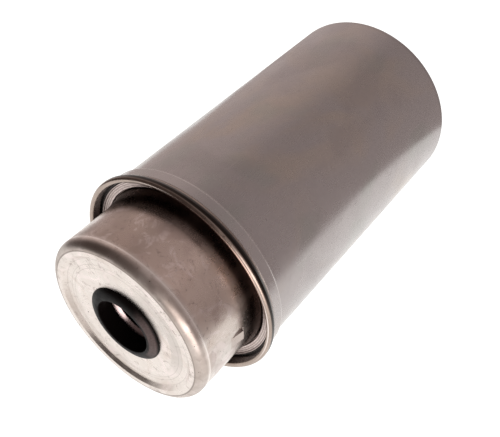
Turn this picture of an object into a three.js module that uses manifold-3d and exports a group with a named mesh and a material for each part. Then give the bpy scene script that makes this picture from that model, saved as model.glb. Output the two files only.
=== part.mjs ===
// Fuel filter cartridge: a grey painted steel can with a stepped tinplate cap clamped into its
// mouth by a rolled rim ring. A rubber grommet in the cap takes the filter head's outlet spigot.
// Inside, a pleated paper element sits between a coil spring and the grommet.
// Fuel comes in by two lanced keys in the cap's wall, runs down outside the pleats, passes
// through the paper and leaves by the perforated centre tube and the neck.
// Each piece is drawn with the can standing on its closed end. The finished cartridge is laid
// on its side, cap towards -Y, +Z up. Millimetres throughout.
import * as THREE from "three";
import { mergeVertices } from "three/addons/utils/BufferGeometryUtils.js";
import Module from "manifold-3d";

// ---- driving dimensions ----
const CAN_RADIUS = 39.5;
const RIM_RADIUS = 42.2;
const CAP_RADIUS = 34;
const BORE_RADIUS = 11;
const CAN_TOP = 130.5; // the painted edge, just under the rolled rim
const RIM_TOP = 135;
const CAP_FACE = 160.6;
const SHEET = 0.8;
const GAP = 0.3; // clearance between pieces that touch on the real filter
const ROUND = 40; // facets round the shells
const COARSE = 28; // facets round the inner pieces

// ---- levels and radii worked out from them ----
const bottom = { panel: 28, foot: 30, recess: 1.2, corner: 4 };
const band = { radius: 40.6, wall: 0.6, foot: CAN_TOP - 4.5, slope: 0.9 };
const ledge = { top: 130.6, inner: 35.7, ridge: 37.2, outer: 38.1, ridgeHeight: 0.5 };
const compound = { inner: 36.2, thickness: 0.5 };
const flange = { top: ledge.top - SHEET - compound.thickness - 2 * GAP, radius: 39.3 };
const crest = { top: CAP_FACE + 0.9, shoulder: 3.9 };
const hole = 13.2;
const keys = { top: 145.7, foot: 140.2, rise: 1.0, width: 5, angles: [0, 180] };
const collar = 15.2; // the grommet's rims, above and below the edge of the hole
const neck = { inner: 12, outer: 12.8, top: 155.2, seam: 15 };
const spring = { radius: 17, wire: 2.2, foot: bottom.recess + SHEET + GAP, height: 15.8 };
const tube = { inner: 12.4, outer: 13.2 };
const media = { inner: 13.8, outer: 33.4, paper: 0.6, pleats: 32, foot: 22.9, height: 97 };
const disc = { radius: 35, rim: 5, seatRadius: 20 };
const potting = { inner: 13.6, outer: 33.9, height: 2 };

// ---- materials ----
const material = (color, roughness, metalness) =>
  new THREE.MeshStandardMaterial({ color, roughness, metalness });
const greyPaint = material(0x8a8483, 0.38, 0.5);
const tinplate = material(0xb9aaa2, 0.25, 1);
const rubber = material(0x14110f, 0.55, 0);
const paper = material(0xc9b58c, 0.9, 0);
const plastisol = material(0xb4572a, 0.6, 0);
const springSteel = material(0x6d6a68, 0.35, 1);
const thread = material(0xe6e0d2, 0.85, 0);

// ---- shapes ----
const filter = new THREE.Group();
const element = new THREE.Group();
filter.add(element);

function add(group, name, geometry, look) {
  const mesh = new THREE.Mesh(geometry, look);
  mesh.name = name;
  group.add(mesh);
  return mesh;
}

// Points [radius, height] on a circular arc, angles in degrees from the outward radius.
function arc(radius, height, size, from, to, steps = 3) {
  const points = [];
  for (let i = 0; i <= steps; i++) {
    const a = THREE.MathUtils.degToRad(from + ((to - from) * i) / steps);
    points.push([radius + size * Math.cos(a), height + size * Math.sin(a)]);
  }
  return points;
}

// Turns a closed outline of [radius, height] points, in either order, about the Z axis.
// Half a facet of turn puts a flat, not a corner, where the cartridge lies on a bench.
function turned(outline, facets = ROUND) {
  const area = THREE.ShapeUtils.area(outline.map(([x, y]) => new THREE.Vector2(x, y)));
  const points = area > 0 ? outline : [...outline].reverse();
  const loop = [...points, points[0]].map(([r, h]) => new THREE.Vector2(r, h));
  return new THREE.LatheGeometry(loop, facets, Math.PI / facets).rotateX(Math.PI / 2);
}

const washer = (inner, outer, foot, top, facets = COARSE) =>
  turned([[inner, foot], [outer, foot], [outer, top], [inner, top]], facets);

// ---- joining and cutting ----
const wasm = await Module();
wasm.setup();

function solid(geometry) {
  const bare = geometry.index ? geometry.toNonIndexed() : geometry.clone();
  bare.deleteAttribute("normal");
  bare.deleteAttribute("uv");
  const merged = mergeVertices(bare, 1e-4);
  return new wasm.Manifold(
    new wasm.Mesh({
      numProp: 3,
      vertProperties: merged.attributes.position.array,
      triVerts: new Uint32Array(merged.index.array),
    }),
  );
}

function geometryOf(body) {
  const { vertProperties, triVerts, numProp } = body.getMesh();
  const made = new THREE.BufferGeometry();
  const position = new Float32Array((vertProperties.length / numProp) * 3);
  for (let i = 0; i * numProp < vertProperties.length; i++)
    position.set(vertProperties.subarray(i * numProp, i * numProp + 3), i * 3);
  made.setAttribute("position", new THREE.BufferAttribute(position, 3));
  made.setIndex(new THREE.BufferAttribute(triVerts, 1));
  made.computeVertexNormals();
  return made;
}

// ---- the can ----
// Deep drawn, with a recessed bottom panel inside a flat foot ring. Its mouth is swaged out into
// a short band that makes an inner shoulder and ends under the rolled rim.
function outerCan() {
  const wall = CAN_RADIUS - SHEET;
  const inside = band.radius - band.wall;
  const { corner, recess } = bottom;
  return turned([
    [0, recess],
    [bottom.panel, recess],
    [bottom.foot, 0],
    ...arc(CAN_RADIUS - corner, corner, corner, -90, 0),
    [CAN_RADIUS, band.foot - band.slope],
    [band.radius, band.foot],
    [band.radius, CAN_TOP],
    [inside, CAN_TOP],
    [inside, band.foot + SHEET],
    [wall, band.foot - band.slope + SHEET],
    ...arc(CAN_RADIUS - corner, corner, corner - SHEET, 0, -90),
    [bottom.foot + 0.2, SHEET],
    [bottom.panel + 0.2, recess + SHEET],
    [0, recess + SHEET],
  ]);
}

// ---- the rolled rim ----
// One ring with the seating ledge and its ridge inside, a bead that the head's collar grips,
// and a step below that sits on the can's edge and inside its mouth.
function rimRing() {
  const bead = { radius: RIM_RADIUS - 1.15, height: RIM_TOP - 1.15, size: 1.15 };
  const mouth = band.radius - band.wall - GAP;
  return turned([
    [ledge.inner, ledge.top - SHEET],
    [ledge.inner, ledge.top],
    [ledge.ridge, ledge.top],
    [ledge.ridge + 0.3, ledge.top + ledge.ridgeHeight],
    [ledge.outer, ledge.top + ledge.ridgeHeight],
    [ledge.outer + 0.3, ledge.top],
    [mouth - 0.5, ledge.top],
    ...arc(bead.radius, bead.height, bead.size, 160, -20, 4),
    [band.radius + GAP, CAN_TOP + GAP],
    [mouth, CAN_TOP + GAP],
    [mouth, ledge.top - SHEET],
  ]);
}

// Soft lining of the seam, squeezed between the ledge and the cap's flange.
const seamCompound = () =>
  washer(compound.inner, flange.radius, flange.top + GAP, ledge.top - SHEET - GAP, ROUND);

// Flat ring on the can's inner shoulder, under the cap's flange.
const flangeSeal = () =>
  washer(37.6, flange.radius, band.foot + SHEET + GAP, flange.top - SHEET - GAP, ROUND);

// ---- the cap ----
// A drawn cup: flat face with a shallow trough and a raised ring near its edge, rounded shoulder,
// straight wall that flares a little at its foot, and a flange held under the rim ring's ledge.
function capShell() {
  const face = CAP_FACE;
  const inner = CAP_RADIUS - SHEET;
  const { shoulder } = crest;
  const shoulderAt = [CAP_RADIUS - shoulder, crest.top - shoulder];
  return turned([
    [hole, face],
    [21, face],
    [24.8, face - 0.3],
    [27.8, face - 0.2],
    [29.6, crest.top],
    ...arc(...shoulderAt, shoulder, 80, 0, 4),
    [CAP_RADIUS, 138],
    [34.3, 134.5],
    [35, 131.6],
    [35.4, flange.top + GAP],
    [35.4, flange.top],
    [flange.radius, flange.top],
    [flange.radius, flange.top - SHEET],
    [34.5, flange.top - SHEET],
    [34.2, 131.6],
    [33.5, 134.5],
    [inner, 138],
    ...arc(...shoulderAt, shoulder - SHEET, 0, 80, 3),
    [30, crest.top - SHEET],
    [28.2, face - 0.2 - SHEET],
    [24.8, face - 0.3 - SHEET],
    [21, face - SHEET],
    [hole, face - SHEET],
  ]);
}

// A ramp standing out of the cap's wall, or the hollow under it, as a prism across the width.
function ramp(inner, rise, width, top, foot, angle) {
  const side = new THREE.Shape([
    new THREE.Vector2(inner, top),
    new THREE.Vector2(inner, foot),
    new THREE.Vector2(CAP_RADIUS + rise, foot),
    new THREE.Vector2(CAP_RADIUS + rise - 0.9 * keys.rise, top),
  ]);
  const prism = new THREE.ExtrudeGeometry(side, { depth: width, bevelEnabled: false });
  prism.translate(0, 0, -width / 2).rotateX(Math.PI / 2);
  return solid(prism.rotateZ(THREE.MathUtils.degToRad(angle)));
}

// The keys are lanced outward, so each leaves an open slit at its foot.
function topCap() {
  let body = solid(capShell());
  const { rise, width, top, foot } = keys;
  const wallMiddle = CAP_RADIUS - SHEET / 2;
  for (const angle of keys.angles) {
    body = body.add(ramp(wallMiddle, rise, width, top, foot, angle));
    const hollow = ramp(wallMiddle - SHEET, rise - 0.5, width - 1.2, top - 1.5, foot - 0.6, angle);
    body = body.subtract(hollow);
  }
  return geometryOf(body);
}

// ---- the grommet ----
// A groove holds the edge of the cap's hole. The bore seals on the head's spigot, and the skirt
// below seals round the neck tube.
function grommet() {
  const under = CAP_FACE - SHEET - GAP;
  const skirt = neck.outer + GAP;
  return turned([
    [BORE_RADIUS, neck.top + GAP],
    ...arc(BORE_RADIUS + 0.7, CAP_FACE + 0.9, 0.7, 180, 50, 4),
    [collar - 1.3, CAP_FACE + 0.95],
    [collar - 1.1, CAP_FACE + 0.75],
    [collar - 0.2, CAP_FACE + 0.75],
    [collar, CAP_FACE + GAP],
    [hole - GAP, CAP_FACE + GAP],
    [hole - GAP, under],
    [collar, under],
    [collar, under - 1.6],
    [skirt + 1.6, under - 3],
    [skirt + 1.4, neck.top - 4.2],
    [skirt, neck.top - 4.2],
    [skirt, neck.top + GAP],
  ]);
}

// ---- the spring ----
// Closed coils at both ends and two working turns between them.
class Coil extends THREE.Curve {
  getPoint(t, target = new THREE.Vector3()) {
    const { radius, wire, foot, height } = spring;
    const turns = 4.2;
    const closed = 1 / turns;
    const closedRise = wire + 0.25;
    const open = height - wire - 2 * closedRise;
    const rise =
      closedRise * Math.min(t / closed, 1) +
      open * THREE.MathUtils.clamp((t - closed) / (1 - 2 * closed), 0, 1) +
      closedRise * Math.max((t - 1 + closed) / closed, 0);
    const a = 2 * Math.PI * turns * t;
    return target.set(radius * Math.cos(a), radius * Math.sin(a), foot + wire / 2 + rise);
  }
}

function coilSpring() {
  const section = new THREE.Shape();
  section.absarc(0, 0, spring.wire / 2, 0, 2 * Math.PI);
  return new THREE.ExtrudeGeometry(section, {
    extrudePath: new Coil(),
    steps: 60,
    curveSegments: 4,
    bevelEnabled: false,
  });
}

// Pressed cup that centres the spring's top coil under the element.
function springSeat() {
  const foot = spring.foot + spring.height + GAP;
  const { seatRadius } = disc;
  return turned(
    [
      [0, foot],
      [seatRadius - SHEET, foot],
      [seatRadius - SHEET, foot - 3],
      [seatRadius, foot - 3],
      [seatRadius, foot + SHEET],
      [0, foot + SHEET],
    ],
    COARSE,
  );
}

// ---- the element ----
// A disc whose turned-over rim points at the media. inner is 0 for a closed disc.
function endDisc(level, inner, rimDirection) {
  const back = level - rimDirection * SHEET;
  const tip = level + rimDirection * disc.rim;
  return turned(
    [
      [inner, back],
      [disc.radius, back],
      [disc.radius, tip],
      [disc.radius - SHEET, tip],
      [disc.radius - SHEET, level],
      [inner, level],
    ],
    COARSE,
  );
}

// Zigzag paper: flat folds outside and inside, with legs of even thickness between them.
function pleatedMedia() {
  const { inner, outer, paper: thick, pleats, foot, height } = media;
  const at = (radius, angle) =>
    new THREE.Vector2(radius * Math.cos(angle), radius * Math.sin(angle));
  const outside = [];
  const inside = [];
  for (let i = 0; i < pleats; i++) {
    const fold = (2 * Math.PI * i) / pleats;
    const valley = fold + Math.PI / pleats;
    outside.push(at(outer, fold - thick / outer), at(outer, fold + thick / outer));
    outside.push(at(inner + thick, valley));
    inside.push(at(outer - thick, fold));
    inside.push(at(inner, valley - thick / inner), at(inner, valley + thick / inner));
  }
  const shape = new THREE.Shape(outside);
  shape.holes.push(new THREE.Path(inside));
  const pack = new THREE.ExtrudeGeometry(shape, { depth: height, bevelEnabled: false });
  return pack.translate(0, 0, foot);
}

// Folded steel strip that joins the two ends of the paper, sitting in one outer valley.
function seamClip() {
  const valley = Math.PI / media.pleats;
  const wide = 1.3;
  const thick = 0.4;
  const root = 26;
  const tip = media.outer - 0.2;
  const section = new THREE.Shape([
    new THREE.Vector2(root, -wide),
    new THREE.Vector2(root, -wide + thick),
    new THREE.Vector2(tip - thick, -wide + thick),
    new THREE.Vector2(tip - thick, wide - thick),
    new THREE.Vector2(root, wide - thick),
    new THREE.Vector2(root, wide),
    new THREE.Vector2(tip, wide),
    new THREE.Vector2(tip, -wide),
  ]);
  const strip = new THREE.ExtrudeGeometry(section, { depth: media.height, bevelEnabled: false });
  return strip.translate(0, 0, media.foot).rotateZ(valley);
}

// Rolled steel tube with staggered rows of round holes; each drill goes through both walls.
function centreTube() {
  const foot = media.foot - potting.height - GAP;
  const top = media.foot + media.height + GAP + potting.height;
  const rows = 6;
  const drills = 2;
  const pitch = media.height / rows;
  let body = solid(washer(tube.inner, tube.outer, foot, top));
  for (let row = 0; row < rows; row++) {
    for (let k = 0; k < drills; k++) {
      const drill = new THREE.CylinderGeometry(2.4, 2.4, 4 * tube.outer, 6);
      drill.rotateZ(Math.PI / 2);
      drill.rotateZ((Math.PI * (k + (row % 2) / 2)) / drills);
      drill.translate(0, 0, media.foot + pitch * (row + 0.5));
      body = body.subtract(solid(drill));
    }
  }
  return geometryOf(body);
}

// Steel neck with a foot flange spot-welded to the upper disc.
function neckTube(foot) {
  return turned(
    [
      [neck.inner, foot],
      [neck.seam, foot],
      [neck.seam, foot + SHEET],
      [neck.outer, foot + SHEET],
      [neck.outer, neck.top],
      [neck.inner, neck.top],
    ],
    COARSE,
  );
}

// Thread wound round the pleats to keep them spaced.
function pleatBand(height) {
  const size = 0.4;
  return turned(arc(media.outer + GAP + size, height, size, 0, 270, 3), COARSE);
}

// ---- the assembly ----
add(filter, "outer_can", outerCan(), greyPaint);
add(filter, "rim_ring", rimRing(), tinplate);
add(filter, "seam_compound", seamCompound(), plastisol);
add(filter, "flange_seal", flangeSeal(), rubber);
add(filter, "top_cap", topCap(), tinplate);
add(filter, "grommet", grommet(), rubber);
add(filter, "spring", coilSpring(), springSteel);

const mediaTop = media.foot + media.height;
const lowerDisc = media.foot - potting.height - 2 * GAP;
const upperDisc = mediaTop + potting.height + 2 * GAP;
const { inner: potIn, outer: potOut, height: potHeight } = potting;
add(element, "spring_seat", springSeat(), tinplate);
add(element, "lower_end_disc", endDisc(lowerDisc, 0, 1), tinplate);
const lowerPot = washer(potIn, potOut, lowerDisc + GAP, lowerDisc + GAP + potHeight);
add(element, "lower_potting", lowerPot, plastisol);
add(element, "pleated_media", pleatedMedia(), paper);
add(element, "seam_clip", seamClip(), tinplate);
const bands = 3;
for (let i = 1; i <= bands; i++) {
  const height = media.foot + (media.height * i) / (bands + 1);
  add(element, `pleat_band_${i}`, pleatBand(height), thread);
}
add(element, "centre_tube", centreTube(), tinplate);
add(element, "upper_potting", washer(potIn, potOut, mediaTop + GAP, upperDisc - GAP), plastisol);
add(element, "upper_end_disc", endDisc(upperDisc, tube.inner, -1), tinplate);
add(element, "neck_tube", neckTube(upperDisc + SHEET + GAP), tinplate);

// Laid on its side, resting on the rim, with its middle over the origin.
filter.rotation.x = Math.PI / 2;
const extent = new THREE.Box3().setFromObject(filter);
const middle = extent.getCenter(new THREE.Vector3());
filter.position.set(-middle.x, -middle.y, -extent.min.z);

export default filter;
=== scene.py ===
# Fuel filter cartridge lying on its side, cap towards -Y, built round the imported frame.
# Each piece is drawn standing on its closed end, as [radius, height] in millimetres, and turned
# about its own Z axis. The STAND matrix then lays it in the row frame, in metres.
import math

import bpy
from mathutils import Matrix, Vector


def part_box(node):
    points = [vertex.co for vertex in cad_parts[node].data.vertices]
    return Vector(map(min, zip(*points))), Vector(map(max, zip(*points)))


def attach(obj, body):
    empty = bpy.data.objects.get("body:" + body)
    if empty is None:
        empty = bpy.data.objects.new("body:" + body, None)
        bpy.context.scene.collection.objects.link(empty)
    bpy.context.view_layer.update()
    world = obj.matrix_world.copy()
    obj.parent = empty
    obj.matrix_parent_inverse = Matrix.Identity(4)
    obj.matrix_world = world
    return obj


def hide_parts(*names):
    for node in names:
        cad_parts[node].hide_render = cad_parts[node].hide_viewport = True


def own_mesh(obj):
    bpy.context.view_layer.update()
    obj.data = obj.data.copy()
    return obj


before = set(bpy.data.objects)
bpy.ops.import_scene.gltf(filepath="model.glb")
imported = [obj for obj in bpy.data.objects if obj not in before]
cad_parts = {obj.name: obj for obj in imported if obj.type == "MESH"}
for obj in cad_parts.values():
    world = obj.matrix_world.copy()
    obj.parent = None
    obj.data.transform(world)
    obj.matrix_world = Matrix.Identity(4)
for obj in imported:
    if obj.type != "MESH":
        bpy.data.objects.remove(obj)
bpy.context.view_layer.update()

# ---- places read from the frame ----
MM = 0.001
SHELL_SIDES = 40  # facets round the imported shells, whose boxes are measured across the flats
INNER_SIDES = 28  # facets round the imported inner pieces
END_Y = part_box("outer_can")[1].y
AXIS_Z = (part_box("rim_ring")[0].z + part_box("rim_ring")[1].z) / 2
STAND = Matrix.Translation((0, END_Y, AXIS_Z)) @ Matrix.Rotation(math.pi / 2, 4, "X")


def front(node):
    """Height of a node's cap-side end above the closed end, in mm."""
    return (END_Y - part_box(node)[0].y) / MM


def back(node):
    """Height of a node's other end, in mm."""
    return (END_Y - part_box(node)[1].y) / MM


def reach(node, sides=SHELL_SIDES):
    """A turned node's outer radius in mm."""
    low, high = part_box(node)
    return (high.x - low.x) / 2 / MM / math.cos(math.pi / sides)


SHEET = 0.8
BAND_RADIUS = reach("outer_can")
CAN_RADIUS = BAND_RADIUS - 1.1
CAN_TOP = front("outer_can")  # the painted edge, just under the rolled rim
RIM_RADIUS = reach("rim_ring")
RIM_TOP = front("rim_ring")
LEDGE = back("rim_ring") + SHEET
CREST = front("top_cap")
FACE = CREST - 0.9
CAP_RADIUS = 34
HOLE_RADIUS = 13.2  # in the cap's face
DISH = FACE - 0.4  # the cap's face sinks a little round its hole
WALL_TOP = CREST - 3.5  # where the cap's wall meets its rounded shoulder
FLARE_TOP = 137.2  # where the cap's wall starts to widen towards its foot
FLANGE_RADIUS = 39.3
BORE_RADIUS = 11  # through the grommet
COLLAR_RADIUS = 15.2  # of the grommet's rims, above and below the cap's face
GROMMET_TOP = front("grommet")
NECK_TOP = front("neck_tube")
NECK_INNER, NECK_OUTER = 12, 12.8
DISC_RIM = 5
DISC_HOLE = 12.4
PLEATS = 64
CAD_PLEATS = 32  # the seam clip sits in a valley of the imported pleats
# Lanced keys in the cap's wall: a ramp that stands out and ends in a slit.
KEY = {"foot": 140.2, "top": 145.7, "rise": 1.0, "half_width": 2.5, "slit": 0.5, "edge": 0.35}
KEY_ANGLES = (0, math.pi)


# ---- outlines and turned pieces ----
def rounded(corners, step=8):
    """A closed outline from (radius, height) or (radius, height, fillet) corners. step is degrees."""
    points = []
    for i, corner in enumerate(corners):
        here = Vector(corner[:2])
        if len(corner) == 2:
            points.append(here)
            continue
        size = corner[2]
        back_way = (Vector(corners[i - 1][:2]) - here).normalized()
        on_way = (Vector(corners[(i + 1) % len(corners)][:2]) - here).normalized()
        half = back_way.angle(on_way) / 2
        centre = here + (back_way + on_way).normalized() * size / math.sin(half)
        reach_back = size / math.tan(half)
        arm, last = here + back_way * reach_back - centre, here + on_way * reach_back - centre
        turn = math.atan2(arm.cross(last), arm.dot(last))
        steps = max(2, math.ceil(abs(math.degrees(turn)) / step))
        for k in range(steps + 1):
            a = turn * k / steps
            spun = (arm.x * math.cos(a) - arm.y * math.sin(a), arm.x * math.sin(a) + arm.y * math.cos(a))
            points.append(centre + Vector(spun))
    return held(points)


def held(points):
    """The outline with a point near both ends of each long side, which keeps its shading flat."""
    kept = []
    for here, following in zip(points, points[1:] + points[:1]):
        kept.append(here)
        side = following - here
        if side.length > 1.5:
            hold = side.normalized() * 0.2
            kept += [here + hold, following - hold]
    return kept


def finish_mesh(name, vertices, faces, material, sharp=32):
    """A named object in the row frame from vertices in mm, standing."""
    mesh = bpy.data.meshes.new(name)
    mesh.from_pydata([Vector(v) * MM for v in vertices], [], faces)
    mesh.validate()
    mesh.update()
    mesh.shade_smooth()
    mesh.set_sharp_from_angle(angle=math.radians(sharp))
    piece = bpy.data.objects.new(name, mesh)
    bpy.context.scene.collection.objects.link(piece)
    piece.matrix_world = STAND
    mesh.materials.append(material)
    return piece


def even_angles(count):
    return [2 * math.pi * i / count for i in range(count)]


def turned(name, outline, material, angles=None, change=None):
    """A closed outline turned about the axis. change(x, y, z) may move each point."""
    angles = angles or even_angles(224)
    area = sum(a.x * b.y - b.x * a.y for a, b in zip(outline, outline[1:] + outline[:1]))
    if area < 0:
        outline = outline[::-1]
    vertices, rings = [], []
    for p in outline:
        if p.x < 1e-6:
            rings.append([len(vertices)] * len(angles))
            vertices.append((0, 0, p.y))
            continue
        rings.append(list(range(len(vertices), len(vertices) + len(angles))))
        vertices += [(p.x * math.cos(a), p.x * math.sin(a), p.y) for a in angles]
    if change:
        vertices = [change(*v) for v in vertices]
    faces = []
    for low, high in zip(rings, rings[1:] + rings[:1]):
        for i in range(len(angles)):
            j = (i + 1) % len(angles)
            corners = list(dict.fromkeys((low[i], low[j], high[j], high[i])))
            if len(corners) > 2:
                faces.append(corners)
    return finish_mesh(name, vertices, faces, material)


# ---- node material helpers ----
class Look:
    """A procedural material. Its texture coordinates are the piece's own, in mm."""

    def __init__(self, name, color, roughness, metallic, **uniform):
        self.material = bpy.data.materials.new(name)
        self.material.use_nodes = True
        self.tree = self.material.node_tree
        self.shader = self.tree.nodes["Principled BSDF"]
        self.set("Base Color", (*color, 1))
        self.set("Roughness", roughness)
        self.set("Metallic", metallic)
        for socket, value in uniform.items():
            self.set(socket.replace("_", " "), value)
        place = self.add("ShaderNodeTexCoord").outputs["Object"]
        self.place = self.vector("SCALE", place, scale=1 / MM)
        self.height = None

    def set(self, socket, value):
        self.shader.inputs[socket].default_value = value

    def add(self, kind, **settings):
        made = self.tree.nodes.new(kind)
        for key, value in settings.items():
            setattr(made, key, value)
        return made

    def link(self, value, socket):
        if isinstance(value, bpy.types.NodeSocket):
            self.tree.links.new(value, socket)
        else:
            socket.default_value = value

    def vector(self, operation, a, b=None, scale=None):
        made = self.add("ShaderNodeVectorMath", operation=operation)
        self.link(a, made.inputs[0])
        if b is not None:
            self.link(b, made.inputs[1])
        if scale is not None:
            made.inputs["Scale"].default_value = scale
        return made.outputs["Value" if operation in ("LENGTH", "DOT_PRODUCT") else "Vector"]

    def math(self, operation, a, b=0.0):
        made = self.add("ShaderNodeMath", operation=operation)
        self.link(a, made.inputs[0])
        self.link(b, made.inputs[1])
        return made.outputs[0]

    def times(self, a, b):
        return self.math("MULTIPLY", a, b)

    def stretched(self, x, y, z):
        return self.vector("MULTIPLY", self.place, (x, y, z))

    def part(self, axis):
        """X, Y or Z of the place, in mm."""
        parts = self.add("ShaderNodeSeparateXYZ")
        self.link(self.place, parts.inputs[0])
        return parts.outputs[axis]

    def radius(self):
        return self.vector("LENGTH", self.vector("MULTIPLY", self.place, (1, 1, 0)))

    def towards(self, degrees):
        """Cosine of the angle between the place and a direction round the axis."""
        a = math.radians(degrees)
        along = self.vector("DOT_PRODUCT", self.place, (math.cos(a), math.sin(a), 0))
        return self.math("DIVIDE", along, self.math("MAXIMUM", self.radius(), 0.1))

    def rings(self, radial, axial, round_about):
        """Coordinates that change with radius and height, and hardly round the axis."""
        made = self.add("ShaderNodeCombineXYZ")
        self.link(self.times(self.radius(), radial), made.inputs[0])
        self.link(self.times(self.part("Z"), axial), made.inputs[1])
        self.link(self.times(self.towards(90), round_about), made.inputs[2])
        return made.outputs[0]

    def between(self, value, low, high, soft):
        """1 from low to high, fading to 0 over soft on both sides."""
        up = self.ramp(value, low - soft, low)
        return self.times(up, self.ramp(value, high, high + soft, 1, 0))

    def noise(self, size, detail=4, rough=0.55, at=None, distortion=0.0):
        """Noise whose features are about size mm across, from 0 to 1."""
        made = self.add("ShaderNodeTexNoise")
        self.link(at or self.place, made.inputs["Vector"])
        made.inputs["Scale"].default_value = 1 / size
        made.inputs["Detail"].default_value = detail
        made.inputs["Roughness"].default_value = rough
        made.inputs["Distortion"].default_value = distortion
        return made.outputs["Fac"]

    def ramp(self, value, low, high, out_low=0.0, out_high=1.0):
        made = self.add("ShaderNodeMapRange", interpolation_type="SMOOTHSTEP")
        self.link(value, made.inputs["Value"])
        limits = {"From Min": low, "From Max": high, "To Min": out_low, "To Max": out_high}
        for socket, number in limits.items():
            made.inputs[socket].default_value = number
        return made.outputs["Result"]

    def specks(self, spacing, size, share):
        """Round specks: 1 in a speck and 0 outside. share is how many cells hold one."""
        made = self.add("ShaderNodeTexVoronoi")
        self.link(self.place, made.inputs["Vector"])
        made.inputs["Scale"].default_value = 1 / spacing
        near = self.ramp(made.outputs["Distance"], size * 0.5 / spacing, size / spacing, 1, 0)
        parts = self.add("ShaderNodeSeparateColor")
        self.link(made.outputs["Color"], parts.inputs[0])
        chosen = self.math("LESS_THAN", parts.outputs[0], share)
        return self.times(near, chosen)

    def tint(self, amount, color, blend="MIX"):
        """Lays color over what the base colour is so far."""
        socket = self.shader.inputs["Base Color"]
        made = self.add("ShaderNodeMix", data_type="RGBA", blend_type=blend)
        self.link(amount, made.inputs["Factor"])
        old = socket.links[0].from_socket if socket.links else tuple(socket.default_value)
        self.link(old, made.inputs[6])
        self.link((*color, 1), made.inputs[7])
        self.link(made.outputs[2], socket)

    def roughen(self, amount):
        """Adds amount to the roughness."""
        socket = self.shader.inputs["Roughness"]
        old = socket.links[0].from_socket if socket.links else socket.default_value
        self.link(self.math("ADD", amount, old), socket)

    def bump(self, value, depth):
        """Raises the surface by value times depth in mm."""
        made = self.add("ShaderNodeBump")
        made.inputs["Strength"].default_value = 1
        made.inputs["Distance"].default_value = depth * MM
        self.link(value, made.inputs["Height"])
        if self.height is not None:
            self.link(self.height, made.inputs["Normal"])
        self.height = made.outputs[0]
        self.link(self.height, self.shader.inputs["Normal"])


def grey_paint():
    """Satin enamel, mottled, with a light line where the mouth is swaged out, partly wear and partly a
    painted highlight, a painted lighter tone on the swaged band and painted shade at the closed end's edge.
    """
    look = Look("grey_paint", (0.40, 0.365, 0.36), 0.21, 0.75)
    patches = look.noise(34, detail=3, at=look.stretched(1, 1, 0.6), distortion=0.8)
    look.tint(look.ramp(patches, 0.48, 0.68, 0, 0.55), (0.46, 0.385, 0.32))
    green = look.noise(22, detail=2, at=look.stretched(1.3, 1, 0.8))
    look.tint(look.ramp(green, 0.52, 0.68, 0, 0.4), (0.34, 0.35, 0.32))
    dull = look.noise(27, detail=4, rough=0.5, at=look.stretched(1, 1.2, 0.7), distortion=0.5)
    look.tint(look.ramp(dull, 0.5, 0.64, 0, 0.42), (0.32, 0.285, 0.285))
    look.tint(look.ramp(look.noise(2.2, detail=6), 0.35, 0.7, 0, 0.14), (0.3, 0.27, 0.27))
    streaks = look.noise(1.2, detail=4, rough=0.7, at=look.stretched(1, 1, 0.06))
    look.tint(look.ramp(streaks, 0.6, 0.72, 0, 0.25), (0.47, 0.43, 0.42))
    look.tint(look.specks(5.5, 0.28, 0.3), (0.16, 0.14, 0.14))
    look.tint(look.specks(8.5, 0.22, 0.3), (0.6, 0.57, 0.56))
    level = look.part("Z")
    # Light line on the swage step: partly wear, partly a painted highlight.
    swage = look.between(level, CAN_TOP - 5.1, CAN_TOP - 4.3, 0.4)
    wear_and_highlight = look.ramp(look.noise(1.6, detail=4, at=look.rings(1, 1, 3)), 0.3, 0.6, 0.35, 0.75)
    look.tint(look.times(swage, wear_and_highlight), (0.78, 0.74, 0.72))
    # Painted light: the swaged band above the line is lighter all round.
    look.tint(look.ramp(level, CAN_TOP - 4.5, CAN_TOP - 4, 0, 0.3), (0.5, 0.47, 0.46))
    # Painted shade: darker towards the closed end's rounded edge.
    look.tint(look.ramp(level, 0.8, 4.6, 0.75, 0), (0.15, 0.125, 0.125))
    look.roughen(look.ramp(look.noise(14, detail=5), 0.3, 0.75, 0, 0.1))
    scratches = look.noise(1.4, detail=8, rough=0.75, at=look.stretched(1.6, 0.9, 0.25))
    look.roughen(look.ramp(scratches, 0.56, 0.66, 0, 0.12))
    look.bump(look.noise(1.1, detail=2), 0.006)
    return look.material


def plate(name, color=(0.70, 0.635, 0.59), roughness=0.24):
    """Drawn tinplate with stains, specks and faint drawing rings. Returned unfinished."""
    look = Look(name, color, roughness, 1.0)
    stain = look.noise(13, detail=5, rough=0.6, distortion=0.8)
    look.tint(look.ramp(stain, 0.48, 0.68, 0, 0.4), (0.56, 0.45, 0.39))
    blot = look.noise(3.1, detail=6, rough=0.7)
    look.tint(look.ramp(blot, 0.56, 0.7, 0, 0.3), (0.4, 0.33, 0.29))
    look.tint(look.specks(4.2, 0.26, 0.25), (0.1, 0.075, 0.07))
    look.roughen(look.ramp(look.noise(9, detail=4), 0.35, 0.7, 0, 0.14))
    look.roughen(look.ramp(look.noise(0.8, detail=6, rough=0.8), 0.5, 0.8, 0, 0.15))
    look.bump(look.noise(0.5, detail=3, at=look.rings(1, 0.6, 2)), 0.003)
    look.bump(look.noise(7, detail=2), 0.03)
    return look


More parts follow.
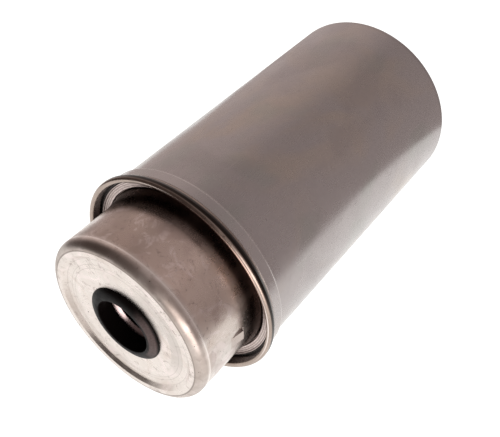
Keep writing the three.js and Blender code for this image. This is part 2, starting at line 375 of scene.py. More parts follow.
def mark_cap_wall(look, level):
    """Painted brown shade near the top on two sides, smudges and rubs, painted shade and highlight bands
    round the wall, and painted shade down behind the rim and over the key at 0 degrees.
    """
    # Painted shade in brown near the top of the wall, on the side facing 75 degrees and, darker, on the
    # side facing 105 degrees.
    wall = look.times(look.ramp(level, WALL_TOP - 0.5, WALL_TOP - 3), look.ramp(look.towards(75), 0.3, 0.8))
    look.tint(look.times(wall, 0.6), (0.62, 0.47, 0.40))
    top = look.times(look.ramp(level, WALL_TOP, WALL_TOP - 3), look.ramp(look.towards(105), 0.6, 0.95))
    look.tint(look.times(top, 0.55), (0.36, 0.28, 0.245))
    smudge = look.noise(4.5, detail=7, rough=0.75, at=look.stretched(1, 1, 1.5), distortion=1.2)
    look.tint(look.ramp(smudge, 0.55, 0.66, 0, 0.62), (0.27, 0.21, 0.19))
    rub = look.noise(7, detail=4, rough=0.6, at=look.stretched(1, 1, 0.8), distortion=1.5)
    look.tint(look.ramp(rub, 0.5, 0.66, 0, 0.5), (0.82, 0.71, 0.69))
    on_wall = look.ramp(level, WALL_TOP, WALL_TOP - 2)
    cloud = look.noise(10, detail=3, rough=0.5, at=look.stretched(1, 1, 1.4), distortion=0.6)
    look.tint(look.times(look.ramp(cloud, 0.48, 0.6, 0, 0.4), on_wall), (0.46, 0.355, 0.325))
    scrape = look.noise(1.0, detail=6, rough=0.7, at=look.rings(0.4, 1.6, 9))
    look.tint(look.ramp(scrape, 0.63, 0.69, 0, 0.5), (0.28, 0.22, 0.2))
    look.tint(look.specks(2.6, 0.2, 0.3), (0.09, 0.065, 0.06))
    look.tint(look.specks(6.5, 0.42, 0.3), (0.12, 0.085, 0.08))
    # Painted shade and a painted highlight: two darker bands and one lighter band round the wall. Columns:
    # direction round the axis, cosines where the shade starts and is full, and the shade.
    painted_light_and_shade = ((105, 0.84, 0.97, 0.80), (14, 0.84, 0.97, 0.84), (66, 0.955, 0.99, 1.18))
    for facing, low, high, shade in painted_light_and_shade:
        side = look.times(on_wall, look.ramp(look.towards(facing), low, high))
        look.tint(side, (shade, shade, shade), "MULTIPLY")
    # Painted shade: near black at the wall's foot, down in the channel behind the rim.
    look.tint(look.ramp(level, FLARE_TOP + 2, FLARE_TOP - 2.7, 0, 0.94), (0.085, 0.052, 0.042))
    # Painted shade: the key at 0 degrees is darker.
    key_height = look.between(level, KEY["foot"] - 0.7, KEY["top"], 0.4)
    lug_shade = look.times(key_height, look.ramp(look.towards(0), 0.9945, 0.997))
    look.tint(look.times(lug_shade, 0.5), (0.38, 0.3, 0.27))


def mark_cap_face(look, level, radius):
    """Painted shade on one side inside the raised edge, a painted dark line where the face bends into the
    shoulder, a greyer painted arc on one side, and drawing rings round the hole.
    """
    on_face = look.ramp(level, CREST - 2.6, CREST - 1.6)
    # Painted shade, brown, on the side facing 245 degrees inside the raised edge.
    slope_shade = look.times(look.between(radius, 27.6, 28.8, 0.35), look.ramp(look.towards(245), 0.2, 0.85))
    look.tint(look.times(slope_shade, 0.6), (0.30, 0.25, 0.22))
    # Painted shade: a dark line where the face bends over into the shoulder.
    crease_shade = look.times(look.between(radius, 31.0, 31.3, 0.2), on_face)
    look.tint(look.times(crease_shade, 0.8), (0.13, 0.1, 0.085))
    # Painted shade: a greyer arc on the side facing 25 degrees.
    painted_side_tone = look.times(look.between(radius, 20.8, 24.6, 0.5), look.ramp(look.towards(25), 0.5, 0.95))
    look.tint(look.times(painted_side_tone, 0.5), (0.47, 0.43, 0.4))
    for ring in (23.4, 24.9, 27.2):
        line = look.times(look.between(radius, ring, ring + 0.08, 0.12), on_face)
        look.tint(look.times(line, 0.4), (0.3, 0.26, 0.23))


def mark_cap_shoulder(look, level, radius):
    """Duller where the metal is bent, with a painted highlight line under the bend and dirt above it."""
    bend = look.times(look.ramp(level, WALL_TOP - 0.8, WALL_TOP + 0.6), look.ramp(radius, 30.6, 31.6))
    uneven = look.ramp(look.noise(6, detail=4), 0.25, 0.6, 0.35, 0.8)
    look.tint(look.times(bend, uneven), (0.40, 0.335, 0.30))
    look.roughen(look.times(bend, 0.1))
    # Painted highlight: a bright line round the wall just under the bend.
    line = look.between(level, WALL_TOP - 1, WALL_TOP - 0.7, 0.25)
    look.tint(look.times(line, 0.5), (0.92, 0.86, 0.82))
    dirt = look.times(look.specks(1.7, 0.2, 0.35), look.between(radius, 29, 33.6, 0.5))
    look.tint(dirt, (0.07, 0.05, 0.045))


def cap_plate():
    """Tinplate with the cap's own marks."""
    look = plate("cap_tinplate")
    level, radius = look.part("Z"), look.radius()
    mark_cap_wall(look, level)
    mark_cap_face(look, level, radius)
    mark_cap_shoulder(look, level, radius)
    return look.material


def rim_plate():
    """A darker tinplate with painted shade near black on the bead's outer side and in the seam's groove,
    and a painted highlight along the crest on one side.
    """
    look = plate("rim_tinplate", (0.36, 0.29, 0.25), 0.22)
    level, radius = look.part("Z"), look.radius()
    # Painted shade: near black on the bead's outer side, down towards the can.
    flank_shade = look.times(look.ramp(level, RIM_TOP - 0.6, RIM_TOP - 1.1), look.ramp(radius, 41.2, 41.7))
    look.tint(look.times(flank_shade, 0.96), (0.012, 0.009, 0.008))
    # Painted highlight along the crest, strongest on the side facing 40 degrees.
    crest = look.ramp(level, RIM_TOP - 0.8, RIM_TOP - 0.3)
    wear_and_highlight = look.times(look.between(radius, 41.0, 41.25, 0.14), crest)
    look.tint(look.times(wear_and_highlight, look.ramp(look.towards(40), 0.2, 0.8, 0, 0.8)), (0.93, 0.83, 0.80))
    # Painted shade: near black on the groove's inner wall.
    in_groove = look.between(level, LEDGE - 0.1, RIM_TOP - 0.9, 0.35)
    wall = look.times(in_groove, look.between(radius, 39.2, 40.4, 0.15))
    look.tint(look.times(wall, 0.9), (0.05, 0.034, 0.029))
    # Painted shade: near black at the bottom of the groove.
    low_down = look.ramp(level, LEDGE + 0.7, LEDGE + 0.2)
    groove = look.times(look.between(radius, 38.75, 39.5, 0.1), low_down)
    look.tint(groove, (0.03, 0.022, 0.02))
    ledge = look.times(look.ramp(radius, 38.8, 38.6), look.ramp(level, LEDGE - 0.3, LEDGE - 0.1))
    look.tint(ledge, (0.70, 0.60, 0.57))
    look.roughen(look.times(ledge, 0.12))
    for ring in (36.5, 37.3, 38.1):
        line = look.times(look.between(radius, ring, ring + 0.15, 0.2), ledge)
        look.tint(look.times(line, 0.75), (0.2, 0.15, 0.135))
    grain = look.noise(0.45, detail=5, rough=0.8, at=look.rings(1.4, 1, 26))
    look.tint(look.times(ledge, look.ramp(grain, 0.46, 0.6, 0, 0.75)), (0.3, 0.235, 0.215))
    blots = look.ramp(look.noise(1.2, detail=5), 0.5, 0.62, 0, 0.5)
    look.tint(look.times(ledge, blots), (0.4, 0.31, 0.29))
    return look.material


def neck_plate():
    """Tinplate that is bright on the rolled-in mouth, with painted shade near black further down the bore.
    """
    look = plate("neck_tinplate", (0.66, 0.54, 0.54), 0.26)
    # Painted shade: near black down inside the bore.
    below = look.ramp(look.part("Z"), NECK_TOP - 1.9, NECK_TOP - 2.6, 0, 0.93)
    look.tint(below, (0.05, 0.035, 0.033))
    return look.material


def black_rubber():
    """Moulded rubber, with a painted grey sheen along one side of the grommet's lip."""
    look = Look("black_rubber", (0.004, 0.0026, 0.0024), 0.34, 0.0, Specular_IOR_Level=0.06)
    # Painted sheen: the lip is lighter grey on the side facing 8 degrees.
    lit_side = look.ramp(look.towards(8), 0.55, 0.95)
    painted_side_tone = look.times(look.between(look.radius(), 12.6, 14.4, 0.8), lit_side)
    grain = look.ramp(look.noise(0.7, detail=6, rough=0.8), 0.3, 0.7, 0.45, 1)
    look.tint(look.times(painted_side_tone, grain), (0.15, 0.112, 0.108))
    look.tint(look.specks(1.1, 0.09, 0.2), (0.22, 0.2, 0.19))
    dust = look.noise(0.5, detail=6, rough=0.8)
    look.tint(look.ramp(dust, 0.58, 0.75, 0, 0.1), (0.12, 0.09, 0.085))
    look.roughen(look.ramp(look.noise(1.6, detail=5), 0.35, 0.7, 0, 0.16))
    look.bump(look.noise(0.35, detail=4), 0.02)
    return look.material


def plastisol():
    look = Look("plastisol", (0.45, 0.10, 0.03), 0.42, 0.0)
    look.tint(look.ramp(look.noise(6, detail=5), 0.4, 0.7, 0, 0.5), (0.3, 0.07, 0.03))
    look.tint(look.specks(1.9, 0.22, 0.3), (0.6, 0.25, 0.12))
    look.roughen(look.ramp(look.noise(1.5, detail=4), 0.4, 0.7, 0, 0.25))
    look.bump(look.noise(1.6, detail=4), 0.09)
    return look.material


def filter_paper():
    look = Look("filter_paper", (0.58, 0.46, 0.27), 0.86, 0.0)
    look.tint(look.ramp(look.noise(16, detail=4), 0.4, 0.7, 0, 0.5), (0.5, 0.36, 0.18))
    fibres = look.noise(0.6, detail=6, rough=0.75, at=look.stretched(1, 1, 0.35), distortion=0.5)
    look.tint(look.ramp(fibres, 0.45, 0.7, 0, 0.4), (0.74, 0.64, 0.44))
    look.bump(fibres, 0.05)
    ribs = look.math("SINE", look.times(look.part("Z"), 4.2))
    look.bump(ribs, 0.04)
    return look.material


def spring_steel():
    look = Look("spring_steel", (0.20, 0.185, 0.18), 0.3, 1.0)
    look.tint(look.ramp(look.noise(4, detail=5), 0.45, 0.7, 0, 0.6), (0.11, 0.09, 0.085))
    rust = look.noise(1.1, detail=6, rough=0.75)
    look.tint(look.ramp(rust, 0.6, 0.68, 0, 0.7), (0.26, 0.12, 0.06))
    look.roughen(look.ramp(look.noise(0.8, detail=5), 0.4, 0.7, 0, 0.3))
    look.bump(look.noise(0.4, detail=3), 0.012)
    return look.material


def cotton_thread():
    look = Look("cotton_thread", (0.78, 0.74, 0.66), 0.9, 0.0)
    look.tint(look.ramp(look.noise(3, detail=4), 0.45, 0.7, 0, 0.5), (0.66, 0.58, 0.44))
    look.bump(look.noise(0.14, detail=4, rough=0.8), 0.05)
    return look.material


# ---- pieces of the housing ----
def outer_can(material):
    """Deep-drawn can with a recessed panel in its closed end and a band swaged out at its mouth."""
    wall = CAN_RADIUS - SHEET
    inside = BAND_RADIUS - 0.6
    foot = CAN_TOP - 4.3
    panel, ring, recess = 28, 30, 1.2
    outline = rounded([
        (0, recess),
        (panel, recess, 1.2),
        (ring, 0, 1.2),
        (CAN_RADIUS, 0, 3.4),
        (CAN_RADIUS, foot - 0.9, 0.5),
        (BAND_RADIUS, foot, 0.4),
        (BAND_RADIUS, CAN_TOP, 0.25),
        (inside, CAN_TOP),
        (inside, foot + 0.3),
        (wall, foot - 0.6),
        (wall, SHEET, 2.6),
        (ring + 0.2, SHEET),
        (panel + 0.2, recess + SHEET),
        (0, recess + SHEET),
    ])
    return turned("can_shell", outline, material)


def rim_ring(material):
    """Bead outside, then a groove, a raised ring and the flat ledge inside."""
    groove = LEDGE - 0.2
    outline = rounded([
        (35.7, LEDGE - SHEET),
        (35.7, LEDGE, 0.3),
        (38.0, LEDGE, 0.1),
        (38.15, LEDGE + 0.45, 0.15),
        (38.65, LEDGE + 0.45, 0.15),
        (38.8, groove, 0.1),
        (39.45, groove, 0.2),
        (40.1, RIM_TOP, 0.8),
        (RIM_RADIUS, RIM_TOP, 1.05),
        (RIM_RADIUS, RIM_TOP - 2.1, 0.8),
        (40.85, CAN_TOP + 0.15, 0.1),
        (39.9, CAN_TOP + 0.15),
        (39.7, LEDGE - SHEET),
    ], step=6)
    return turned("rolled_rim", outline, material)


def step_up(value, low, high):
    """0 up to low, 1 from high on, and a smooth rise between."""
    t = min(max((value - low) / (high - low), 0), 1)
    return t * t * (3 - 2 * t)


def off_angle(angle, other):
    """The signed angle from other to angle, at most half a turn."""
    return (angle - other + math.pi) % (2 * math.pi) - math.pi


def lance(x, y, z):
    """Pushes the cap's wall out into each key, and in a little at the slit under it."""
    radius = math.hypot(x, y)
    if radius < CAP_RADIUS - 1 or not KEY["foot"] - 1.5 < z < KEY["top"] + 0.5:
        return x, y, z
    angle = math.atan2(y, x)
    for key in KEY_ANGLES:
        across = abs(off_angle(angle, key)) * CAP_RADIUS
        side = 1 - step_up(across, KEY["half_width"] - KEY["edge"], KEY["half_width"])
        if side <= 0:
            continue
        along = (KEY["top"] - z) / (KEY["top"] - KEY["foot"])
        out = KEY["rise"] * min(max(along, 0), 1) * step_up(z, KEY["foot"] - 0.1, KEY["foot"] + 0.05)
        below = KEY["foot"] - 0.1 - z
        sunk = 0.7 * step_up(below, -0.05, 0.1) * (1 - step_up(below, KEY["slit"], KEY["slit"] + 0.2))
        scale = 1 + side * (out - sunk) / radius
        return x * scale, y * scale, z
    return x, y, z


def cap_angles():
    """Even steps round the cap, with fine ones across each key."""
    fine = [key + math.radians(0.25 * i - 5) for key in KEY_ANGLES for i in range(41)]
    clear = math.radians(5.5)
    coarse = [a for a in even_angles(224) if all(abs(off_angle(a, key)) > clear for key in KEY_ANGLES)]
    return sorted(a % (2 * math.pi) for a in fine + coarse)


def top_cap(material):
    """Drawn cup with a dished face, a raised edge, a straight wall and a clamped flange."""
    inner = CAP_RADIUS - SHEET
    flange = LEDGE - SHEET - 0.3
    # Close rows of points, for the keys to be pushed out of.
    wall_rows = [(CAP_RADIUS, KEY["top"] + 0.5 - 0.15 * i) for i in range(52)]
    outline = rounded([
        (HOLE_RADIUS, DISH),
        (15.6, DISH, 6),
        (20.9, FACE, 4),
        (24.8, FACE - 0.3, 4),
        (27.5, FACE - 0.3, 0.4),
        (29.1, CREST, 0.5),
        (CAP_RADIUS, CREST, 3.5),
        *wall_rows,
        (CAP_RADIUS, FLARE_TOP, 12),
        (35.0, 131.4, 2),
        (35.4, flange + 0.2),
        (35.4, flange),
        (FLANGE_RADIUS, flange),
        (FLANGE_RADIUS, flange - SHEET),
        (34.4, flange - SHEET),
        (34.2, 131.4),
        (inner, FLARE_TOP),
        *[(p[0] - SHEET, p[1]) for p in reversed(wall_rows)],
        (inner, CREST - SHEET, 2.7),
        (29.5, CREST - SHEET),
        (27.9, FACE - 0.3 - SHEET),
        (24.8, FACE - 0.3 - SHEET),
        (20.9, FACE - SHEET),
        (15.6, DISH - SHEET),
        (HOLE_RADIUS, DISH - SHEET),
    ], step=6)
    return turned("stepped_cap", outline, material, cap_angles(), lance)


def grommet(material):
    """Rubber ring in the cap's hole, with a round lip above and a skirt round the neck below."""
    under = DISH - SHEET - 0.1
    lip = BORE_RADIUS + 0.7
    groove = HOLE_RADIUS - 0.1
    brow, steps = [], 24  # the lip's outline, steeper towards its outer edge
    for i in range(steps + 1):
        t = math.pi / 2 * i / steps
        fall = (GROMMET_TOP - DISH - 0.3) * (1 - math.cos(t) ** 1.4)
        brow.append((lip + (COLLAR_RADIUS - lip) * math.sin(t), GROMMET_TOP - fall))
    outline = rounded([
        (BORE_RADIUS, NECK_TOP + 0.3, 0.3),
        (BORE_RADIUS, GROMMET_TOP, 0.35),
        *brow,
        (COLLAR_RADIUS, DISH + 0.05, 0.1),
        (groove, DISH + 0.05),
        (groove, under),
        (COLLAR_RADIUS, under, 0.4),
        (COLLAR_RADIUS, under - 1.7, 0.6),
        (14.7, under - 3.2),
        (14.5, NECK_TOP - 4.2),
        (13.0, NECK_TOP - 4.2),
        (13.0, NECK_TOP + 0.3),
    ])
    return turned("spigot_grommet", outline, material)


def seam_lining(material):
    """Soft ring in the seam, squeezed out unevenly along its inner edge."""
    low, high = back("seam_compound"), front("seam_compound")
    inner, outer = 36.2, reach("seam_compound")
    corners = ((inner, low), (outer, low), (outer, high), (inner, high))
    outline = rounded([(*corner, 0.12) for corner in corners], step=15)

    def uneven(x, y, z):
        a = math.atan2(y, x)
        scale = 1 + 0.002 * math.sin(7 * a) * math.sin(3 * a + 1)
        return (x * scale, y * scale, z) if math.hypot(x, y) < 37 else (x, y, z)

    return turned("seam_lining", outline, material, change=uneven)


def flange_gasket(material):
    """Flat ring under the cap's flange, with a shallow groove in its top."""
    low, high = back("flange_seal"), front("flange_seal")
    outer = reach("flange_seal")
    outline = rounded([
        (37.6, low, 0.3),
        (outer, low, 0.3),
        (outer, high, 0.3),
        (38.9, high, 0.2),
        (38.7, high - 0.25, 0.2),
        (38.2, high - 0.25, 0.2),
        (38.0, high, 0.2),
        (37.6, high, 0.2),
    ], step=15)
    return turned("flange_gasket", outline, material)


def swept(name, path, wire, sides, material):
    """A round wire along a path of points in mm, with slightly domed ends."""
    path = [Vector(p) for p in path]
    last = len(path) - 1
    rings = []
    for i, point in enumerate(path):
        way = (path[min(i + 1, last)] - path[max(i - 1, 0)]).normalized()
        out = Vector((point.x, point.y, 0)).normalized()
        out = (out - way * out.dot(way)).normalized()
        across = way.cross(out)
        sizes = [(wire, 0)]
        if i in (0, last):
            dome = 0.3 * wire * (-1 if i == 0 else 1)
            sizes = [(0.6 * wire, dome), (wire, 0)][:: -1 if i == last else 1]
        for size, ahead in sizes:
            turn = [2 * math.pi * k / sides for k in range(sides)]
            middle = point + way * ahead
            rings.append([middle + (out * math.cos(a) + across * math.sin(a)) * size for a in turn])
    vertices = [v for ring in rings for v in ring]
    faces = [list(range(sides))[::-1], [len(vertices) - sides + k for k in range(sides)]]
    for r in range(len(rings) - 1):
        for k in range(sides):
            a, b = r * sides + k, r * sides + (k + 1) % sides
            faces.append((a, b, b + sides, a + sides))
    return finish_mesh(name, vertices, faces, material, 50)


def coil_spring(material):
    """Closed coils at both ends and two working turns between them."""
    radius, wire, turns, steps = 17, 1.1, 4.2, 230
    foot, top = back("spring"), front("spring")
    closed = 1 / turns
    closed_rise = 2 * wire + 0.25
    working = top - foot - 2 * wire - 2 * closed_rise
    path = []
    for i in range(steps + 1):
        t = i / steps
        rise = closed_rise * min(t / closed, 1) + closed_rise * max((t - 1 + closed) / closed, 0)
        rise += working * step_up(t, closed, 1 - closed)
        a = 2 * math.pi * turns * t
        path.append((radius * math.cos(a), radius * math.sin(a), foot + wire + rise))
    return swept("coil_spring", path, wire - 0.02, 18, material)


# ---- pieces of the element ----
def neck_tube(material):
    """The neck's mouth is rolled in to a bevel that guides the spigot."""
    low = back("neck_tube")
    outline = rounded([
        (NECK_INNER, low),
        (15, low, 0.3),
        (15, low + SHEET, 0.3),
        (NECK_OUTER, low + SHEET, 0.5),
        (NECK_OUTER, NECK_TOP, 0.1),
        (NECK_OUTER - 0.1, NECK_TOP, 0.05),
        (BORE_RADIUS + 0.1, NECK_TOP - 2.0, 0.2),
        (NECK_INNER, NECK_TOP - 2.9, 0.5),
    ])
    return turned("outlet_neck", outline, material)


def end_disc(name, node, level, inner, direction, material):
    """A pressed disc with a turned-over rim and a stiffening bead. level faces the pleats."""
    rim = reach(node, INNER_SIDES)
    tip = level + DISC_RIM * direction
    behind = level - SHEET * direction
    beads = [(22, 0), (23, 0.45), (24.5, 0.45), (25.5, 0)]
    outline = rounded([
        (inner, behind),
        *[(r, behind + rise * direction, 0.6) for r, rise in beads],
        (rim, behind, 1.1),
        (rim, tip, 0.35),
        (rim - SHEET, tip, 0.35),
        (rim - SHEET, level, 0.4),
        *[(r, level + rise * direction, 0.6) for r, rise in reversed(beads)],
        (inner, level),
    ])
    return turned(name, outline, material)


def potting(name, node, direction, material):
    """Cured plastisol that creeps up between the pleats."""
    low, high = back(node), front(node)
    wet = high if direction > 0 else low
    inner, outer = 13.6, 33.9
    outline = [Vector((inner, low)), Vector((outer, low))]
    outline += [Vector((r, high)) for r in (outer, 31, 26, 20, 15, inner)]
    if direction < 0:
        outline = [Vector((p.x, low + high - p.y)) for p in outline]

    def creep(x, y, z):
        ripple = 0.5 - 0.5 * math.cos(PLEATS * math.atan2(y, x))
        inside = 14 < math.hypot(x, y) < 33.5
        return (x, y, z - direction * 0.22 * ripple) if inside and abs(z - wet) < 1e-4 else (x, y, z)

    return turned(name, outline, material, even_angles(PLEATS * 6), creep)


def pleat_pack(material):
    """Paper folded to and fro between an inner and an outer radius, in one closed band."""
    low, high = back("pleated_media"), front("pleated_media")
    half, folds = 0.22, 2 * PLEATS
    inner, outer = 14.45, 32.3
    line = []
    for leg in range(folds):
        a, b = 2 * math.pi * leg / folds, 2 * math.pi * (leg + 1) / folds
        start, end = (inner, outer) if leg % 2 == 0 else (outer, inner)
        for k in range(7):
            t = k / 6
            r = start + (end - start) * t
            bow = 0.12 * math.sin(math.pi * t) * math.sin(2.4 * leg) / r
            line.append(Vector((r * math.cos(a + bow), r * math.sin(a + bow))))
        bend = end * math.sin(math.pi / folds)
        centre = Vector((math.cos((a + b) / 2), math.sin((a + b) / 2))) * end * math.cos(math.pi / folds)
        out = centre.normalized() * (1 if end > start else -1)
        side = (line[-1] - centre).normalized()
        line += [centre + (side * math.cos(q) + out * math.sin(q)) * bend for q in
                 [math.pi * k / 6 for k in range(1, 6)]]
    count = len(line)
    normals = []
    for i in range(count):
        way = (line[(i + 1) % count] - line[i - 1]).normalized()
        normals.append(Vector((-way.y, way.x)))
    levels = [low + (high - low) * k / 10 for k in range(11)]
    vertices = []
    for level in levels:
        for side in (half, -half):
            vertices += [(*(p + n * side), level) for p, n in zip(line, normals)]
    faces = []
    for k in range(len(levels) - 1):
        for side in (0, 1):
            first = (2 * k + side) * count
            for i in range(count):
                j = (i + 1) % count
                quad = (first + i, first + j, first + 2 * count + j, first + 2 * count + i)
                faces.append(quad if side else quad[::-1])
    for first, flip in ((0, False), (2 * (len(levels) - 1) * count, True)):
        for i in range(count):
            j = (i + 1) % count
            quad = (first + i, first + j, first + count + j, first + count + i)
            faces.append(quad[::-1] if flip else quad)
    return finish_mesh("pleat_pack", vertices, faces, material, 40)


def pleat_clip(material):
    """Folded strip over the two ends of the paper, crimped at even steps."""
    low, high = back("seam_clip"), front("seam_clip")
    angle = math.pi / CAD_PLEATS
    section = [
        (26, -1.3), (33.0, -1.3), (33.15, -1.15), (33.2, -0.9), (33.2, 0.9), (33.15, 1.15), (33.0, 1.3),
        (26, 1.3), (26, 0.95), (32.8, 0.95), (32.8, -0.95), (26, -0.95),
    ]
    steps = 96
    vertices = []
    for k in range(steps + 1):
        level = low + (high - low) * k / steps
        crimp = 0.24 if k % 8 in (3, 4) else 0
        for x, y in section:
            y -= math.copysign(crimp, y) * (x < 32)
            vertices.append((x * math.cos(angle) - y * math.sin(angle),
                             x * math.sin(angle) + y * math.cos(angle), level))
    size = len(section)
    faces = [list(range(size))[::-1], [steps * size + i for i in range(size)]]
    for k in range(steps):
        for i in range(size):
            j = (i + 1) % size
            faces.append((k * size + i, k * size + j, (k + 1) * size + j, (k + 1) * size + i))
    return finish_mesh("pleat_clip", vertices, faces, material, 25)


def thread_band(number, material):
    """Two and a half turns of thread round the pleats."""
    node = f"pleat_band_{number}"
    middle = (back(node) + front(node)) / 2
    radius, wire, turns, width, steps = 33.65, 0.17, 2.5, 0.9, 300
    path = []
    for i in range(steps + 1):
        a = 2 * math.pi * turns * i / steps + number
        path.append((radius * math.cos(a), radius * math.sin(a), middle + width * (i / steps - 0.5)))
    return swept(f"thread_band_{number}", path, wire, 8, material)


def perforated_tube(material):
    """Rolled tube whose holes stand in staggered rows, one to a square cell."""
    low, high = back("centre_tube"), front("centre_tube")
    inner, outer, hole = 12.45, 13.15, 2.1
    middle = 13  # radius at which the holes are round
    columns, rows = 12, 14
    plain = 3.5  # unpierced length at each end
    pitch = (high - low - 2 * plain) / rows
    arc = 2 * math.pi / columns
    vertices, index, faces = [], {}, []

    def corner(radius, a, z):
        key = (round(radius, 3), round(a % (2 * math.pi), 5) % round(2 * math.pi, 5), round(z, 3))
        if key not in index:
            index[key] = len(vertices)
            vertices.append((radius * math.cos(a), radius * math.sin(a), z))
        return index[key]

    def quad(points, outward):
        faces.append(points if outward else points[::-1])

    square = [(-1, -1), (-0.5, -1), (0, -1), (0.5, -1), (1, -1), (1, -0.5), (1, 0), (1, 0.5)]
    square += [(-x, -y) for x, y in square]
    circle = [math.atan2(y, x) for x, y in square]
    for row in range(rows):
        z0 = low + plain + pitch * (row + 0.5)
        for column in range(columns):
            a0 = arc * (column + 0.5 * (row % 2))
            for k in range(len(square)):
                n = (k + 1) % len(square)
                edge = [(a0 + square[m][0] * arc / 2, z0 + square[m][1] * pitch / 2) for m in (k, n)]
                for m in (n, k):
                    across, along = hole * math.cos(circle[m]), hole * math.sin(circle[m])
                    edge.append((a0 + across / middle, z0 + along))
                loops = [[corner(radius, a, z) for a, z in edge] for radius in (inner, outer)]
                quad(loops[1], True)
                quad(loops[0], False)
                quad([loops[1][3], loops[1][2], loops[0][2], loops[0][3]], True)
    quarters = 4 * columns
    for start, end in ((low, low + plain), (high - plain, high)):
        for k in range(quarters):
            a, b = arc * k / 4, arc * (k + 1) / 4
            for radius, outward in ((inner, False), (outer, True)):
                quad([corner(radius, a, start), corner(radius, b, start),
                      corner(radius, b, end), corner(radius, a, end)], outward)
            tip, outward = (low, False) if start == low else (high, True)
            quad([corner(inner, a, tip), corner(outer, a, tip),
                  corner(outer, b, tip), corner(inner, b, tip)], outward)
    return finish_mesh("perforated_tube", vertices, faces, material, 30)


def seat_cup(material):
    """Pressed cup with a turned-down edge round the spring's top coil."""
    low, high = back("spring_seat"), front("spring_seat")
    rim = reach("spring_seat", INNER_SIDES)
    outline = rounded([
        (0, high - SHEET),
        (9.5, high - SHEET),
        (10.3, high - SHEET - 0.6, 0.5),
        (13.6, high - SHEET - 0.6, 0.5),
        (14.4, high - SHEET, 0.5),
        (rim - SHEET, high - SHEET, 0.5),
        (rim - SHEET, low, 0.3),
        (rim, low, 0.3),
        (rim, high, 1.2),
        (14.5, high, 0.5),
        (13.7, high - 0.6, 0.5),
        (10.2, high - 0.6, 0.5),
        (9.4, high, 0.5),
        (0, high),
    ])
    return turned("seat_cup", outline, material)


# ---- stage: camera, floor and studio light ----
WHITE = (1.25, 1.24, 1.22)


def place_camera():
    data = bpy.data.cameras.new("camera")
    data.lens = 54.43
    data.sensor_width = 36
    camera = bpy.data.objects.new("camera", data)
    bpy.context.scene.collection.objects.link(camera)
    camera.location = Vector((0.12816, END_Y - 0.2635, AXIS_Z + 0.20315))
    camera.rotation_mode = "QUATERNION"
    looking = Vector((-0.4262, 0.5793, -0.6948))
    camera.rotation_quaternion = looking.to_track_quat("-Z", "Y")
    bpy.context.scene.camera = camera


def glowing_sheet(name, low, high, height):
    """A flat, evenly lit white sheet between two corners, lying at the given height."""
    mesh = bpy.data.meshes.new(name)
    corners = [(low[0], low[1]), (high[0], low[1]), (high[0], high[1]), (low[0], high[1])]
    mesh.from_pydata([(x, y, height) for x, y in corners], [], [(0, 1, 2, 3)])
    sheet = bpy.data.objects.new(name, mesh)
    bpy.context.scene.collection.objects.link(sheet)
    material = bpy.data.materials.new(name)
    material.use_nodes = True
    shader = material.node_tree.nodes["Principled BSDF"]
    shader.inputs["Base Color"].default_value = (0, 0, 0, 1)
    shader.inputs["Roughness"].default_value = 1
    shader.inputs["Specular IOR Level"].default_value = 0
    shader.inputs["Emission Color"].default_value = (*WHITE, 1)
    shader.inputs["Emission Strength"].default_value = 1
    mesh.materials.append(material)
    return sheet


def lay_floor():
    """A white sheet under the cartridge, and a wider one that only fills the camera's view."""
    glowing_sheet("paper", (-0.21, -0.32), (0.17, 0.15), -0.0005)
    wide = glowing_sheet("wide_floor", (-6, -6), (6, 6), -0.002)
    wide.visible_glossy = False
    wide.visible_diffuse = False
    wide.visible_transmission = False
    wide.visible_shadow = False


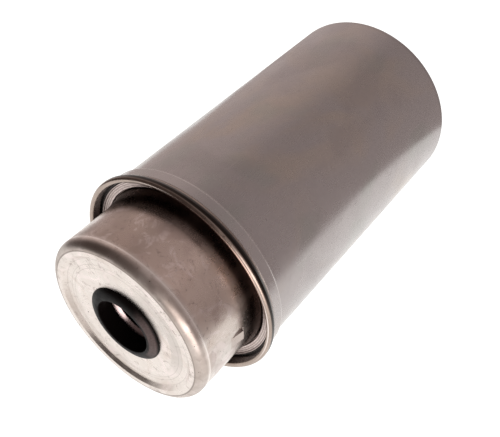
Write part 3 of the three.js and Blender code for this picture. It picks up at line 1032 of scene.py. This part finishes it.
def studio_world():
    """Soft surroundings: a warm grey room with a few broad lighter and darker parts."""
    world = bpy.data.worlds.new("studio")
    bpy.context.scene.world = world
    world.use_nodes = True
    nodes, links = world.node_tree.nodes, world.node_tree.links
    background = nodes["Background"]
    direction = nodes.new("ShaderNodeTexCoord").outputs["Generated"]
    room = (0.43, 0.37, 0.36)
    lobes = [
        # towards, cosine at the edge and at full strength, colour
        ((-0.75, 0.58, 0.30), 0.55, 1.0, (0.78, 0.67, 0.64)),
        ((-0.5, -0.85, 0.25), 0.1, 0.6, (0.09, 0.07, 0.065)),
        ((0.72, -0.66, -0.12), 0.80, 0.94, (3.4, 3.15, 3.05)),
    ]
    color = None
    for towards, edge, full, tone in lobes:
        dot = nodes.new("ShaderNodeVectorMath")
        dot.operation = "DOT_PRODUCT"
        links.new(direction, dot.inputs[0])
        dot.inputs[1].default_value = Vector(towards).normalized()
        fade = nodes.new("ShaderNodeMapRange")
        fade.interpolation_type = "SMOOTHSTEP"
        links.new(dot.outputs["Value"], fade.inputs["Value"])
        fade.inputs["From Min"].default_value = edge
        fade.inputs["From Max"].default_value = full
        mix = nodes.new("ShaderNodeMix")
        mix.data_type = "RGBA"
        links.new(fade.outputs["Result"], mix.inputs["Factor"])
        if color is None:
            mix.inputs[6].default_value = (*room, 1)
        else:
            links.new(color, mix.inputs[6])
        mix.inputs[7].default_value = (*tone, 1)
        color = mix.outputs[2]
    links.new(color, background.inputs["Color"])


place_camera()
lay_floor()
studio_world()
bpy.context.scene.view_settings.view_transform = "Standard"

tin = plate("plain_tinplate").material
rubber, orange, thread = black_rubber(), plastisol(), cotton_thread()
upper, lower = back("upper_end_disc") + DISC_RIM, front("lower_end_disc") - DISC_RIM
housing = [
    (outer_can(grey_paint()), "outer_can", "grey_paint"),
    (rim_ring(rim_plate()), "rim_ring", "tinplate"),
    (seam_lining(orange), "seam_compound", "plastisol"),
    (flange_gasket(rubber), "flange_seal", "rubber"),
    (top_cap(cap_plate()), "top_cap", "tinplate"),
    (grommet(rubber), "grommet", "rubber"),
    (coil_spring(spring_steel()), "spring", "spring_steel"),
]
element = [
    (seat_cup(tin), "spring_seat", "tinplate"),
    (end_disc("lower_disc", "lower_end_disc", lower, 0, 1, tin), "lower_end_disc", "tinplate"),
    (potting("lower_plastisol", "lower_potting", 1, orange), "lower_potting", "plastisol"),
    (pleat_pack(filter_paper()), "pleated_media", "filter_paper"),
    (pleat_clip(tin), "seam_clip", "tinplate"),
    *[(thread_band(i, thread), f"pleat_band_{i}", "thread") for i in (1, 2, 3)],
    (perforated_tube(tin), "centre_tube", "tinplate"),
    (potting("upper_plastisol", "upper_potting", -1, orange), "upper_potting", "plastisol"),
    (end_disc("upper_disc", "upper_end_disc", upper, DISC_HOLE, -1, tin), "upper_end_disc", "tinplate"),
    (neck_tube(neck_plate()), "neck_tube", "tinplate"),
]
for body, parts in (("housing", housing), ("element", element)):
    for piece, node, finish in parts:
        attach(piece, body)
        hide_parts(node)

# The last of the housing is the spring, which stands on the can's end. It gets a mesh of its own.
spring = housing[-1][0]
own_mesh(spring)
